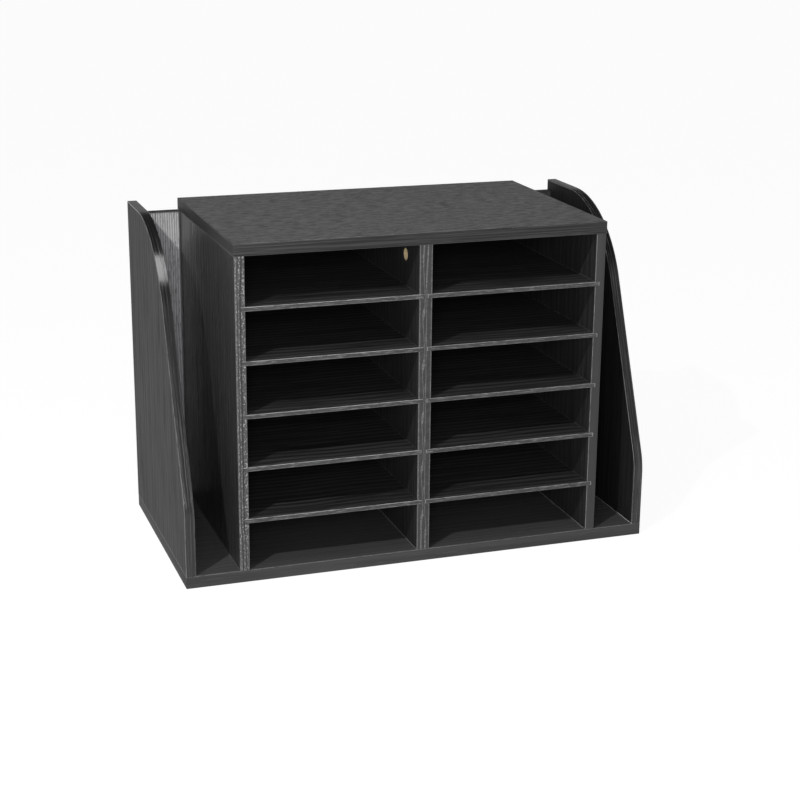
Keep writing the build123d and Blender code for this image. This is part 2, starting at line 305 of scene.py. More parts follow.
def build_band_edges() -> NodeTree:
    """The two long edges of a band, from the length round its section in the band's UV map.

    Low and High mark painted highlight lines on the band's rounded edges. Low is near 1 where the
    second coordinate is within Low Reach of Inset, and High where it is within High Reach of Girth
    less Inset. Both are broken by noise along the band. Column is the raised cosine of the distance
    from Inset and Start, one turn to each Pitch, bent a little by a slow noise. The higher Fill,
    the wider the columns.

    Returns:
        The group, which puts out Low, High and Column from 0 to 1.
    """
    break_span, weakest, edge_fade, bend_turns, column_edge = (0.36, 0.5), 0.25, 0.7, 0.12, 0.3
    net, given, result = new_group(
        "band_edges", ("Along",),
        ("Girth", "Inset", "Low Reach", "High Reach", "Pitch", "Start", "Fill"),
        ("Low", "High", "Column"))
    round_section = net.parts(given["Along"])[1]
    whole = net.ramp(net.noise(given["Along"], (70, 300, 1), 3.0, 0.7), *break_span, weakest)
    for key, place in (("Low", given["Inset"]),
                       ("High", net.minus(given["Girth"], given["Inset"]))):
        away = net.math("ABSOLUTE", net.minus(round_section, place))
        share = net.math("DIVIDE", away, given[f"{key} Reach"])
        net.put(result[key], net.times(net.ramp(share, edge_fade, 1.0, 1.0, 0.0), whole))
    start = net.plus(given["Inset"], given["Start"])
    turns = net.math("DIVIDE", net.minus(round_section, start), given["Pitch"])
    bend = net.times(net.minus(net.noise(given["Along"], (30, 120, 1)), 0.5), bend_turns)
    wave = net.math("COSINE", net.times(net.plus(turns, bend), math.tau))
    net.put(result["Column"], net.ramp(net.plus(wave, given["Fill"]), -column_edge, column_edge))
    return net.tree


def build_handling() -> NodeTree:
    """Marks of use: soft smudges a few centimetres wide, and sparse fine specks of dust.

    Returns:
        The group, which puts out Smudge and Speck from 0 to 1.
    """
    smudge_span, speck_span = (0.35, 0.7), (0.74, 0.8)
    net, given, result = new_group("handling", ("Place",), (), ("Smudge", "Speck"))
    broad = net.noise(given["Place"], (22, 22, 22), 3.0, 0.55)
    fine = net.noise(given["Place"], (900, 900, 900), 1.0)
    net.put(result["Smudge"], net.ramp(broad, *smudge_span))
    net.put(result["Speck"], net.ramp(fine, *speck_span))
    return net.tree


WOOD_GRAIN = build_wood_grain()
BOARD_ZONES = build_board_zones()
GROOVE_ARRISES = build_groove_arrises()
BAND_EDGES = build_band_edges()
HANDLING = build_handling()


class Coat(Net):
    """The net of a new material, with one Principled BSDF."""

    def __init__(self, name: str) -> None:
        """Makes the material, its shader and its output.

        Args:
            name: the material's name.
        """
        self.material = bpy.data.materials.new(name)
        self.material.use_nodes = True
        super().__init__(self.material.node_tree)
        self.tree.nodes.clear()
        self.shader = self.add("ShaderNodeBsdfPrincipled")
        self.add("ShaderNodeOutputMaterial", {0: self.shader.outputs[0]})

    def place(self) -> NodeSocket:
        """The place on the object, in metres."""
        return self.add("ShaderNodeTexCoord").outputs["Object"]

    def along(self) -> NodeSocket:
        """The length along a piece and the length round its section, from its UV map."""
        return self.add("ShaderNodeUVMap", uv_map="run").outputs[0]

    def relief(self, height: Any, depth: float, strength: float) -> NodeSocket:
        """The normal of a relief whose height of 1 stands depth metres high."""
        return self.add("ShaderNodeBump", {"Strength": strength, "Distance": depth,
                                           "Height": height}).outputs[0]

    def finish(self, inputs: dict[str, Any]) -> Material:
        """Feeds the shader.

        Args:
            inputs: outputs, or values that are the same all over, by the input's name.

        Returns:
            The material.
        """
        for key, value in inputs.items():
            self.put(self.shader.inputs[key], value)
        return self.material


@dataclass(frozen=True)
class Laminate:
    """Black wood-grain paper pressed on a board, with bare chipboard inside cuts and holes.

    Its light figure is the share contrast above tone, and its dark pores as far below. rim_tone is
    the tone of its narrow edges, and arris that of lines along its arrises and groove mouths, which
    are paper wear lightened as painted highlights, and dark joint lines where arris is darker than
    tone. grooved is the side that shelves enter, 1 or -1 along X, or 0 for both. foot is the tone
    of a painted highlight line in the crease at the board's foot, behind the tone of its rear half,
    for a board whose tone on its front is lightened as painted light, and rear_gain how many times
    as light its rear edge is as its middle, a painted reflection.
    """

    grain: Grain
    tone: float = 0.03
    contrast: float = 0.9
    figure: float = 0.25
    fibre: float = 0.6
    rim_tone: float = 0.03
    pore_length: float = 160 * MM
    pore_width: float = 6 * MM
    waver: float = 2 * MM
    cover: float = 0.6
    rings: float = 0.6
    pitch: float = 13 * MM
    roughness: float = 0.5
    pore_roughness: float = 0.2
    relief: float = 0.6
    relief_depth: float = 0.08 * MM
    level: float = 0.5
    arris: float = 0.25
    arris_reach: float = 0.9 * MM
    arris_cover: tuple[float, float] = (0.2, 0.9)
    grooved: float | None = None
    foot: float | None = None
    behind: float | None = None
    rear_gain: float = 1.0
    dust: float = 0.06
    dust_cover: float = 0.3
    roughness_spread: float = 0.05
    smudge_gloss: float = 0.025
    core_roughness: float = 0.3
    fibre_height: float = 0.35
    chip: Colour = (0.19, 0.12, 0.07, 1)
    pale_chip: Colour = (0.36, 0.26, 0.16, 1)
    chip_span: tuple[float, float] = (0.35, 0.65)

    def build(self, name: str, low: Vector, high: Vector) -> Material:
        """Makes the laminate of one board.

        Args:
            name: the material's name.
            low: the board's lowest corner.
            high: the board's highest corner.

        Returns:
            The material.
        """
        net = Coat(name)
        place = net.place()
        _, y, z = net.parts(place)
        turned_place = net.add("ShaderNodeMapping", {"Vector": place, "Rotation": self.grain.value})
        grain = net.group(WOOD_GRAIN, {"Place": turned_place.outputs[0],
                                       "Length": self.pore_length, "Width": self.pore_width,
                                       "Waver": self.waver, "Cover": self.cover,
                                       "Pitch": self.pitch})
        size, mid_depth = np.array(high - low), (low.y + high.y) / 2
        thin = tuple(np.where(np.arange(3) == size.argmin(), 1.0, 0.0))
        zones = net.group(BOARD_ZONES, {"Place": place, "Centre": tuple((low + high) / 2),
                                        "Half": tuple(size / 2), "Thin": thin,
                                        "Reach": self.arris_reach})
        marks = net.group(HANDLING, {"Place": place})
        lines = net.math("MAXIMUM", grain["Pores"], net.times(grain["Rings"], self.rings))
        plain, light, dark = (grey(self.tone * (1 + c)) for c in (0, self.contrast, -self.contrast))
        ground = net.mix(net.times(grain["Figure"], self.figure), plain, light)
        ground = net.mix(net.times(grain["Fibre"], self.fibre), ground, light)
        ground = net.mix(lines, ground, dark)
        # Painted reflection: the rear half lightens towards the rear edge.
        if self.rear_gain != 1.0:
            gain = net.ramp(y, mid_depth, high.y, 1.0, self.rear_gain)
            ground = net.vector("MULTIPLY", ground, net.joined(gain, gain, gain))
        ground = net.mix(zones["Rim"], ground, grey(self.rim_tone))
        # Lines along arrises and groove mouths: paper wear lightened as painted highlights, and
        # dark joint lines where arris is darker than tone.
        wear_and_painted_light = zones["Arris"]
        if self.grooved is not None:
            low_shelf, high_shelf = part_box("shelf_left_1"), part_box("shelf_left_2")
            cuts = net.group(GROOVE_ARRISES, {"Place": place,
                                               "Foot": low_shelf[1].z + GROOVE_ROOM,
                                               "Pitch": high_shelf[0].z - low_shelf[0].z,
                                               "Reach": GROOVE_LINE, "Side": self.grooved,
                                               "Middle": (low.x + high.x) / 2})
            wear_and_painted_light = net.math("MAXIMUM", wear_and_painted_light, cuts["Line"])
        broken_wear_and_painted_light = net.times(wear_and_painted_light, net.scale(grain["Fibre"], *self.arris_cover))
        ground = net.mix(broken_wear_and_painted_light, ground, grey(self.arris))
        # Painted highlight: a light line in the crease at the board's foot.
        if self.foot is not None:
            at_foot = net.ramp(net.minus(z, low.z), *FOOT_LINE, 1.0, 0.0)
            ground = net.mix(at_foot, ground, grey(self.foot))
        # The front half keeps tone, which on a lit copy is painted light; the rear half takes the
        # board's own dark tone.
        if self.behind is not None:
            dimmed = net.vector("MULTIPLY", ground, (self.behind / self.tone,) * 3)
            ground = net.mix(net.math("GREATER_THAN", y, mid_depth), ground, dimmed)
        ground = net.mix(net.times(marks["Speck"], self.dust_cover), ground, grey(self.dust))
        chips = net.ramp(net.noise(place, (420, 420, 420), 3.0, 0.65), *self.chip_span)
        ground = net.mix(zones["Core"], ground, net.mix(chips, self.chip, self.pale_chip))
        rough = net.scale(grain["Fibre"], self.roughness - self.roughness_spread,
                          self.roughness + self.roughness_spread)
        rough = net.plus(rough, net.times(lines, self.pore_roughness))
        rough = net.minus(rough, net.times(marks["Smudge"], self.smudge_gloss))
        rough = net.plus(rough, net.times(zones["Core"], self.core_roughness))
        height = net.minus(net.times(grain["Fibre"], self.fibre_height), lines)
        return net.finish({"Base Color": ground, "Roughness": rough,
                           "Normal": net.relief(height, self.relief_depth, self.relief),
                           "Specular IOR Level": self.level})


@dataclass(frozen=True)
class EdgeBand:
    """Black wood-grain edge banding, whose pattern follows the band's own UV map in metres.

    Light streaks lie on a ground whose tone varies by shades. columns is the share of the streaks
    that goes over to even columns along the band, each at least column_floor strong. edges are the
    tones of the painted highlight lines on its rounded low and high edges, ends that of the lines
    at its ends, its cut edge lightened as a painted highlight, and side_low that of a wide painted
    highlight line low on the runs along the top board's sides.
    """

    tone: float = 0.02
    streak: float = 0.05
    streak_length: float = 60 * MM
    streak_width: float = 2 * MM
    cover: float = 0.5
    waver: float = 0.3 * MM
    columns: float = 0.0
    column_pitch: float = 4 * MM
    column_floor: float = 0.35
    column_start: float = 0.0
    column_fill: float = -0.5
    edges: tuple[float, float] = (0.1, 0.1)
    edge_reach: tuple[float, float] = (0.55 * MM, 0.55 * MM)
    ends: float = 0.0
    side_low: float = 0.0
    shades: tuple[float, float] = (0.75, 1.3)
    streak_floor: float = 0.35
    dust: float = 0.07
    dust_cover: float = 0.35
    roughness: float = 0.4
    roughness_spread: float = 0.06
    smudge_gloss: float = 0.04
    fibre_height: float = 0.4
    streak_roughness: float = 0.1
    relief: float = 0.35
    relief_depth: float = 0.1 * MM
    level: float = 0.5

    def build(self, name: str, width: float) -> Material:
        """Makes the banding.

        Args:
            name: the material's name.
            width: the band's width.

        Returns:
            The material.
        """
        net = Coat(name)
        place, along = net.place(), net.along()
        grain = net.group(WOOD_GRAIN, {"Place": along, "Length": self.streak_length,
                                       "Width": self.streak_width, "Waver": self.waver,
                                       "Cover": self.cover, "Pitch": self.column_pitch})
        layout = {"Along": along, "Girth": length_along(band_section(width))[-1],
                  "Inset": BAND_DEPTH - BAND_ROUNDING + BAND_ROUNDING * math.pi / 4,
                  "Low Reach": self.edge_reach[0], "High Reach": self.edge_reach[1],
                  "Pitch": self.column_pitch, "Start": self.column_start,
                  "Fill": self.column_fill}
        sides = net.group(BAND_EDGES, layout)
        marks = net.group(HANDLING, {"Place": place})
        ground = net.mix(grain["Figure"], *(grey(self.tone * shade) for shade in self.shades))
        broken = net.times(grain["Pores"], net.scale(grain["Fibre"], self.streak_floor, 1.0))
        if self.columns:
            column = net.times(sides["Column"], net.scale(grain["Pores"], self.column_floor, 1.0))
            broken = net.plus(net.times(broken, 1.0 - self.columns),
                              net.times(column, self.columns))
        ground = net.mix(broken, ground, grey(self.streak))
        # Painted highlights: light lines on the band's rounded low and high edges.
        for key, tone in zip(("Low", "High"), self.edges):
            ground = net.mix(sides[key], ground, grey(tone))
        # Painted highlight: a wide light line low on the top band's sides.
        if self.side_low:
            across = net.math("ABSOLUTE", net.parts(place)[0])
            side = net.math("GREATER_THAN", across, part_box("top_board")[1].x)
            wide = net.group(BAND_EDGES, layout | {"Low Reach": SIDE_LINE})["Low"]
            ground = net.mix(net.times(side, wide), ground, grey(self.side_low))
        # The band's cut ends, lightened as a painted highlight.
        if self.ends:
            left = net.add("ShaderNodeAttribute", attribute_name="left").outputs["Fac"]
            ground = net.mix(net.ramp(left, *END_LINE, 1.0, 0.0), ground, grey(self.ends))
        ground = net.mix(net.times(marks["Speck"], self.dust_cover), ground, grey(self.dust))
        rough = net.scale(grain["Fibre"], self.roughness - self.roughness_spread,
                          self.roughness + self.roughness_spread)
        rough = net.plus(rough, net.times(broken, self.streak_roughness))
        rough = net.minus(rough, net.times(marks["Smudge"], self.smudge_gloss))
        height = net.plus(net.times(grain["Fibre"], self.fibre_height), grain["Pores"])
        return net.finish({"Base Color": ground, "Roughness": rough,
                           "Normal": net.relief(height, self.relief_depth, self.relief),
                           "Specular IOR Level": self.level})


@dataclass(frozen=True)
class CastMetal:
    """Cast or turned metal with a fine skin, and duller stains of the colour shade."""

    colour: Colour
    shade: Colour
    stain_span: tuple[float, float] = (0.35, 0.7)
    roughness: float = 0.32
    gloss_gain: float = 0.12
    dull_gain: float = 0.18
    relief: float = 0.2
    relief_depth: float = 0.05 * MM
    metallic: float = 1.0

    def build(self, name: str) -> Material:
        """Makes the metal.

        Args:
            name: the material's name.

        Returns:
            The material.
        """
        net = Coat(name)
        place = net.place()
        skin = net.noise(place, (900, 900, 900), 4.0, 0.6)
        stain = net.ramp(net.noise(place, (160, 160, 160), 3.0, 0.6), *self.stain_span)
        rough = net.scale(skin, self.roughness - self.gloss_gain, self.roughness + self.dull_gain)
        return net.finish({"Base Color": net.mix(stain, self.colour, self.shade),
                           "Roughness": rough, "Metallic": self.metallic,
                           "Normal": net.relief(skin, self.relief_depth, self.relief)})


@dataclass(frozen=True)
class PlainBeech:
    """Pale turned beech with short dark flecks along its grain, which follows the UV map."""

    light: Colour = (0.62, 0.42, 0.24, 1.0)
    dark: Colour = (0.33, 0.19, 0.09, 1.0)
    figure: float = 0.4
    flecks: float = 0.7
    roughness: tuple[float, float] = (0.55, 0.75)
    relief: float = 0.3
    relief_depth: float = 0.05 * MM

    def build(self, name: str) -> Material:
        """Makes the beech.

        Args:
            name: the material's name.

        Returns:
            The material.
        """
        net = Coat(name)
        grain = net.group(WOOD_GRAIN, {"Place": net.along(), "Length": 4 * MM, "Width": 0.5 * MM,
                                       "Waver": 0.3 * MM, "Cover": 0.4, "Pitch": 2 * MM})
        ground = net.mix(net.times(grain["Figure"], self.figure), self.light, self.dark)
        ground = net.mix(net.times(grain["Pores"], self.flecks), ground, self.dark)
        return net.finish({"Base Color": ground,
                           "Roughness": net.scale(grain["Fibre"], *self.roughness),
                           "Normal": net.relief(grain["Fibre"], self.relief_depth, self.relief)})


def grid_faces(rows: int, columns: int, round_rows: bool) -> tuple[np.ndarray, np.ndarray]:
    """The quads of a grid of points, row by row, each row closed in a ring.

    Args:
        rows: how many rows of points.
        columns: how many points in a row.
        round_rows: whether the last row joins the first.

    Returns:
        Vertex numbers, four to a quad, and the (row, column) of each corner before it wraps round.
    """
    r, c = np.meshgrid(np.arange(rows if round_rows else rows - 1), np.arange(columns),
                       indexing="ij")
    corner_rows = np.stack([r, r, r + 1, r + 1], -1).reshape(-1, 4)
    corner_columns = np.stack([c, c + 1, c + 1, c], -1).reshape(-1, 4)
    numbers = (corner_rows % rows) * columns + corner_columns % columns
    return numbers, np.stack([corner_rows, corner_columns], -1)


def shade_smooth(mesh: Mesh, degrees: float) -> None:
    """Shades a mesh smooth, with its edges of more than so many degrees sharp."""
    mesh.polygons.foreach_set("use_smooth", np.ones(len(mesh.polygons), bool))
    mesh.set_sharp_from_angle(angle=math.radians(degrees))


@dataclass
class Surface:
    """A closed skin worked out as a grid of points: a section, row by row, along a path.

    x, y and z are the places of the points, of a shape that broadcasts to (rows, columns). The
    columns go round the section and close. The rows close too where ring is true, and otherwise
    each end is closed by one flat face. run is the length along the path at each row, and girth
    that round the section at each column.
    """

    x: np.ndarray
    y: np.ndarray
    z: np.ndarray
    run: np.ndarray
    girth: np.ndarray
    ring: bool = False
    seed: float = 0.0
    sharp_degrees: float = 40

    def mesh(self, merge: bool = False) -> Mesh:
        """Makes the mesh, its faces outwards, with the lengths as its UV map in metres.

        Its attribute left is the length that is left to the nearer end.

        Args:
            merge: whether points that lie on each other become one.

        Returns:
            The mesh.
        """
        points = np.stack(np.broadcast_arrays(self.x, self.y, self.z), -1)
        rows, columns = points.shape[:2]
        quads, corners = grid_faces(rows, columns, self.ring)
        run = np.append(self.run, self.run[-1] + np.linalg.norm(points[0, 0] - points[-1, 0]))
        girth = np.append(self.girth, self.girth[-1] + np.linalg.norm(points[0, 0] - points[0, -1]))
        layout = np.stack([run[corners[..., 0]], girth[corners[..., 1]]], -1).reshape(-1, 2)
        vertices = points.reshape(-1, 3)
        a, b, c, d = (vertices[quads[:, i]] - vertices.mean(0) for i in range(4))
        volume = np.einsum("ij,ij->", a, np.cross(b, c)) + np.einsum("ij,ij->", a, np.cross(c, d))
        faces = quads.tolist()
        left = np.full(rows, 1.0)
        if not self.ring:
            left = np.minimum(run[:-1] - run[0], run[-2] - run[:-1])
            first, last = np.arange(columns), (rows - 1) * columns + np.arange(columns)
            faces += [first[::-1].tolist(), last.tolist()]
            flat = np.stack([np.full(columns, run[0]), girth[:-1]], -1)
            end = np.stack([np.full(columns, run[-2]), girth[:-1]], -1)
            layout = np.concatenate([layout, flat[::-1], end])
        mesh = bpy.data.meshes.new("skin")
        mesh.from_pydata(vertices.tolist(), [], faces)
        attribute = mesh.attributes.new("left", "FLOAT", "POINT")
        attribute.data.foreach_set("value", np.repeat(left, columns))
        layer = mesh.uv_layers.new(name="run")
        layer.data.foreach_set("uv", (layout + [self.seed, 0.0]).astype(np.float32).ravel())
        if volume < 0:
            mesh.flip_normals()
        if merge:
            work = bmesh.new()
            work.from_mesh(mesh)
            bmesh.ops.remove_doubles(work, verts=work.verts, dist=TOUCHING)
            bmesh.ops.dissolve_degenerate(work, edges=work.edges, dist=TOUCHING)
            work.to_mesh(mesh)
            work.free()
        shade_smooth(mesh, self.sharp_degrees)
        mesh.update()
        return mesh


def new_object(name: str, data: Any) -> Object:
    """Puts the data of a mesh, light or camera into the scene.

    Args:
        name: the object's name.
        data: its data.

    Returns:
        The object.
    """
    thing = bpy.data.objects.new(name, data)
    bpy.context.scene.collection.objects.link(thing)
    return thing


def place_piece(mesh: Mesh, node: str, body: str, finish: Material) -> Object:
    """Puts a finished mesh into the scene as the piece that stands for a CAD node.

    Args:
        mesh: the piece's mesh, in its place.
        node: the CAD node that it replaces, which gives it its name.
        body: the CAD body that it moves with.
        finish: its material.

    Returns:
        The piece.
    """
    mesh.name = f"{node}_form"
    piece = new_object(f"{node}_form", mesh)
    mesh.materials.append(finish)
    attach(piece, body)
    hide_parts(node)
    log.info("%s: %d faces, rides on %s", piece.name, len(mesh.polygons), body)
    return piece


def joined_mesh(meshes: Sequence[Mesh]) -> Mesh:
    """One mesh with the faces of several, which are then removed.

    Args:
        meshes: the meshes, each in its place.

    Returns:
        The mesh.
    """
    work = bmesh.new()
    for mesh in meshes:
        work.from_mesh(mesh)
        bpy.data.meshes.remove(mesh)
    whole = bpy.data.meshes.new("whole")
    work.to_mesh(whole)
    work.free()
    return whole


def cut_mesh(mesh: Mesh, cutter: Mesh) -> Mesh:
    """A mesh with the space of another cut out of it.

    Args:
        mesh: the closed mesh that is cut. It is removed.
        cutter: the closed mesh of what is taken away. It is removed.

    Returns:
        The cut mesh, its sharp edges marked.
    """
    whole, tool = (new_object("cut_part", part) for part in (mesh, cutter))
    cut = whole.modifiers.new("cut", "BOOLEAN")
    cut.operation, cut.solver, cut.object = "DIFFERENCE", "EXACT", tool
    graph = bpy.context.evaluated_depsgraph_get()
    result = bpy.data.meshes.new_from_object(whole.evaluated_get(graph))
    for part in (whole, tool):
        data = part.data
        bpy.data.objects.remove(part)
        bpy.data.meshes.remove(data)
    shade_smooth(result, CUT_DEGREES)
    return result


def moved_mesh(mesh: Mesh, shift: Sequence[float], turn: Matrix | None = None) -> Mesh:
    """A mesh, once it is turned about the origin and then shifted."""
    mesh.transform(Matrix.Translation(shift) @ (turn.to_4x4() if turn else Matrix.Identity(4)))
    return mesh


def solid_boxes(node: str) -> np.ndarray:
    """The box of each separate solid in a CAD node.

    Corners that lie together get one number. Each number's label is lowered to the least label in
    its triangles until nothing changes, which leaves one label to a solid.

    Args:
        node: the CAD node's name.

    Returns:
        An array of shape (solids, 2, 3), each solid's lowest and highest corner, in metres.
    """
    together = 0.01 * MM
    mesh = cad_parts[node].data
    points = np.empty(len(mesh.vertices) * 3)
    mesh.vertices.foreach_get("co", points)
    points = points.reshape(-1, 3)
    mesh.calc_loop_triangles()
    triangles = np.empty(len(mesh.loop_triangles) * 3, np.int64)
    mesh.loop_triangles.foreach_get("vertices", triangles)
    places, number = np.unique(np.round(points / together), axis=0, return_inverse=True)
    triangles = number.ravel()[triangles].reshape(-1, 3)
    labels, lowered = None, np.arange(len(places))
    while labels is None or (lowered != labels).any():
        labels, lowered = lowered, lowered.copy()
        least = labels[triangles].min(1)
        np.minimum.at(lowered, triangles.ravel(), np.repeat(least, 3))
    solids = [places[labels == n] * together for n in np.unique(labels)]
    return np.array([[solid.min(0), solid.max(0)] for solid in solids])


def arc(start: float, stop: float, steps: int) -> np.ndarray:
    """Angles from start to stop in equal steps, given in degrees and put out in radians."""
    return np.radians(np.linspace(start, stop, steps + 1))


def length_along(points: np.ndarray) -> np.ndarray:
    """The length from the first point to each point of a line."""
    return np.concatenate([[0.0], np.cumsum(np.linalg.norm(np.diff(points, axis=0), axis=1))])


def band_section(width: float, steps: int = 5) -> np.ndarray:
    """A band's section: flat inside, and outside a flat between two quarter rounds.

    Each round is the circle of the band's rounding about a point that lies that far inside the
    corner, turned through a quarter.

    Args:
        width: the band's width.
        steps: how many chords make up a quarter round.

    Returns:
        Points round the section, each as (how far outwards, how far across).
    """
    r, first, second = BAND_ROUNDING, arc(-90, 0, steps), arc(0, 90, steps)
    low = np.stack([-r + r * np.cos(first), r + r * np.sin(first)], -1)
    high = np.stack([-r + r * np.cos(second), width - r + r * np.sin(second)], -1)
    return np.concatenate([[[-BAND_DEPTH, 0.0]], low, high, [[-BAND_DEPTH, width]]])


def width_of(node: str, axis: int) -> float:
    """How wide a CAD node's box is along an axis."""
    low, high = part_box(node)
    return high[axis] - low[axis]


@dataclass
class Band:
    """An edge band: one skin in the place of its CAD node."""

    node: str
    finish: Material
    seed: float
    body: str = CABINET
    merge: ClassVar[bool] = False

    def surface(self) -> Surface:
        """The band's skin."""
        raise NotImplementedError

    def build(self) -> Object:
        """Makes the band and puts it in its place."""
        mesh = self.surface().mesh(self.merge)
        return place_piece(mesh, self.node, self.body, self.finish)


@dataclass
class LevelBand(Band):
    """The band round the four edges of a level board, one loop with rounded upright corners."""

    corner_steps: int = 5
    merge: ClassVar[bool] = True

    def surface(self) -> Surface:
        """The band's skin.

        A point that lies n outside the board's outline goes round a rectangle that is n larger.
        Each corner is a quarter round of radius rounding + n, or sharp where that is below zero.

        Returns:
            The skin.
        """
        low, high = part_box(self.node)
        section = band_section(high.z - low.z)
        out, up = section.T
        turns = np.concatenate([arc(q, q + 90, self.corner_steps) for q in (-90, 0, 90, 180)])
        signs = np.repeat([(1, -1), (1, 1), (-1, 1), (-1, -1)], self.corner_steps + 1, axis=0)
        radius = np.maximum(BAND_ROUNDING + out, 0.0)
        inset = np.maximum(BAND_ROUNDING, -out)
        half = np.array([high.x - low.x, high.y - low.y]) / 2
        x = signs[:, :1] * (half[0] - inset) + radius * np.cos(turns)[:, None]
        y = signs[:, 1:] * (half[1] - inset) + radius * np.sin(turns)[:, None]
        x, y = x + (low.x + high.x) / 2, y + (low.y + high.y) / 2
        ridge = len(section) // 2
        line = np.stack([x[:, ridge], y[:, ridge]], -1)
        return Surface(x, y, low.z + up, length_along(line), length_along(section), ring=True,
                       seed=self.seed)


@dataclass
class CurvedBand(Band):
    """The band on an outer panel's front and crown: straight, shoulder, slope and brow."""

    brow_radius: float = 150 * MM
    brow_middle: tuple[float, float] = (80.12 * MM, 259.0 * MM)
    shoulder_radius: float = 70 * MM
    shoulder_middle: tuple[float, float] = (-80.0 * MM, 82.04 * MM)
    lean: float = 22.55
    brow_steps: int = 44
    shoulder_steps: int = 14
    straight_steps: int = 8

    def path(self, low: Vector, high: Vector) -> tuple[np.ndarray, np.ndarray]:
        """The outline from the foot of the front to the rear end of the crown.

        The turn is that of the outward direction from straight ahead. It stays at zero up the
        front, goes evenly to the slope's lean round the shoulder, stays there, and goes evenly to
        a quarter turn round the brow. On an arc a point is the middle plus the radius times the
        outward direction.

        Args:
            low: the band's lowest corner.
            high: the band's highest corner.

        Returns:
            Points as (depth, height), and the turn at each of them.
        """
        shoulder = arc(0, self.lean, self.shoulder_steps)
        brow = arc(self.lean, 90, self.brow_steps)
        lower, upper = (
            np.array(middle) + radius * np.stack([-np.cos(turn), np.sin(turn)], -1)
            for middle, radius, turn in ((self.shoulder_middle, self.shoulder_radius, shoulder),
                                         (self.brow_middle, self.brow_radius, brow)))
        share = np.linspace(0, 1, self.straight_steps + 1)[1:-1, None]
        foot, end = np.array([[low.y, low.z]]), np.array([[high.y, high.z]])
        front = np.concatenate([foot, foot + (lower[:1] - foot) * share])
        slope = lower[-1:] + (upper[:1] - lower[-1:]) * share
        crown = np.concatenate([upper[-1:] + (end - upper[-1:]) * share, end])
        turn = np.concatenate([np.zeros(len(front)), shoulder, np.full(len(slope), shoulder[-1]),
                               brow, np.full(len(crown), math.pi / 2)])
        return np.concatenate([front, lower, slope, upper, crown]), turn

    def surface(self) -> Surface:
        """The band's skin: its section carried along the outline, outwards being across it.

        Returns:
            The skin.
        """
        low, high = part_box(self.node)
        line, turn = self.path(low, high)
        section = band_section(high.x - low.x)
        out, across = section.T
        y = line[:, :1] - np.cos(turn)[:, None] * out
        z = line[:, 1:] + np.sin(turn)[:, None] * out
        return Surface(low.x + across, y, z, length_along(line), length_along(section),
                       seed=self.seed)


@dataclass
class UprightBand(Band):
    """The band on the front edge of a grooved upright board, notched where shelves enter.

    notches says whether shelves enter on its low and on its high side.
    """

    notches: tuple[bool, bool] = (True, True)
    merge: ClassVar[bool] = True

    def surface(self) -> Surface:
        """The band's skin.

        The section goes up the board. At a groove its points are held within the width that is
        left, which makes the groove's floor and ceiling between two rows at one height.

        Returns:
            The skin.
        """
        low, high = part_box(self.node)
        section = band_section(high.x - low.x)
        floors = [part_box(f"shelf_left_{n}") for n in SHELF_NUMBERS]
        cuts = np.array([[a.z - GROOVE_ROOM, b.z + GROOVE_ROOM] for a, b in floors])
        heights = np.concatenate([[low.z], np.repeat(cuts.ravel(), 2), [high.z]])
        narrow = np.zeros(len(heights), bool)
        narrow[2::4] = narrow[3::4] = True
        left = np.where(narrow & self.notches[0], low.x + GROOVE_DEPTH, low.x)
        right = np.where(narrow & self.notches[1], high.x - GROOVE_DEPTH, high.x)
        x = np.clip(low.x + section[:, 1], left[:, None], right[:, None])
        return Surface(x, low.y - section[:, 0], heights[:, None], heights - low.z,
                       length_along(section), seed=self.seed)


@dataclass
class ShelfBand(Band):
    """The thin band on a shelf's front edge, which moves with the shelf."""

    stations: int = 12

    def surface(self) -> Surface:
        """The band's skin: its section carried straight across the shelf.

        Returns:
            The skin.
        """
        low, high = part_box(self.node)
        section = band_section(high.z - low.z)
        across = np.linspace(low.x, high.x, self.stations)
        return Surface(across[:, None], low.y - section[:, 0], low.z + section[:, 1],
                       across - low.x, length_along(section), seed=self.seed)


def turned(profile: np.ndarray, steps: int, swell: np.ndarray | float = 0.0) -> Surface:
    """A form turned about the Z axis.

    A point is at radius r + swell round the axis at the profile's height, where r is the profile's
    radius and swell may differ with the angle as well as along the profile.

    Args:
        profile: points as (radius, height), from the axis back to the axis.
        steps: how many points there are in a turn.
        swell: what is added to the radius, of the shape (points, steps) or one value.

    Returns:
        The skin.
    """
    angle = np.linspace(0, math.tau, steps, endpoint=False)
    radius = np.maximum(profile[:, :1] + swell, POLE_RADIUS)
    return Surface(radius * np.cos(angle), radius * np.sin(angle), profile[:, 1:],
                   length_along(profile), angle * profile[:, 0].max())


def thread(heights: np.ndarray, steps: int, pitch: float, depth: float, low: float,
           high: float) -> np.ndarray:
    """How far a thread cuts in: a raised cosine of the height in pitches less the share of a turn.

    It fades in and out over half a pitch at the ends of its length.

    Args:
        heights: the height of each row.
        steps: how many points there are in a turn.
        pitch: the height of one turn.
        depth: the thread's depth.
        low: where the thread starts.
        high: where it ends.

    Returns:
        What is added to the radius, of the shape (rows, steps) and nowhere above zero.
    """
    share = np.arange(steps) / steps
    wave = 0.5 - 0.5 * np.cos(math.tau * (heights[:, None] / pitch - share))
    fade = np.clip(np.minimum(heights - low, high - heights) / (pitch / 2), 0, 1)[:, None]
    return -depth * wave * fade


def filled(corners: Sequence[tuple[float, float]], spacing: float) -> np.ndarray:
    """A line through corners, with points added evenly between them.

    Args:
        corners: the corners.
        spacing: the most that a point may be from the next.

    Returns:
        The points.
    """
    line = np.array(corners, float)
    along = length_along(line)
    parts = [np.linspace(a, b, max(2, math.ceil((b - a) / spacing) + 1))[:-1]
             for a, b in zip(along[:-1], along[1:])]
    stops = np.append(np.concatenate(parts), along[-1])
    return np.stack([np.interp(stops, along, line[:, k]) for k in range(2)], -1)


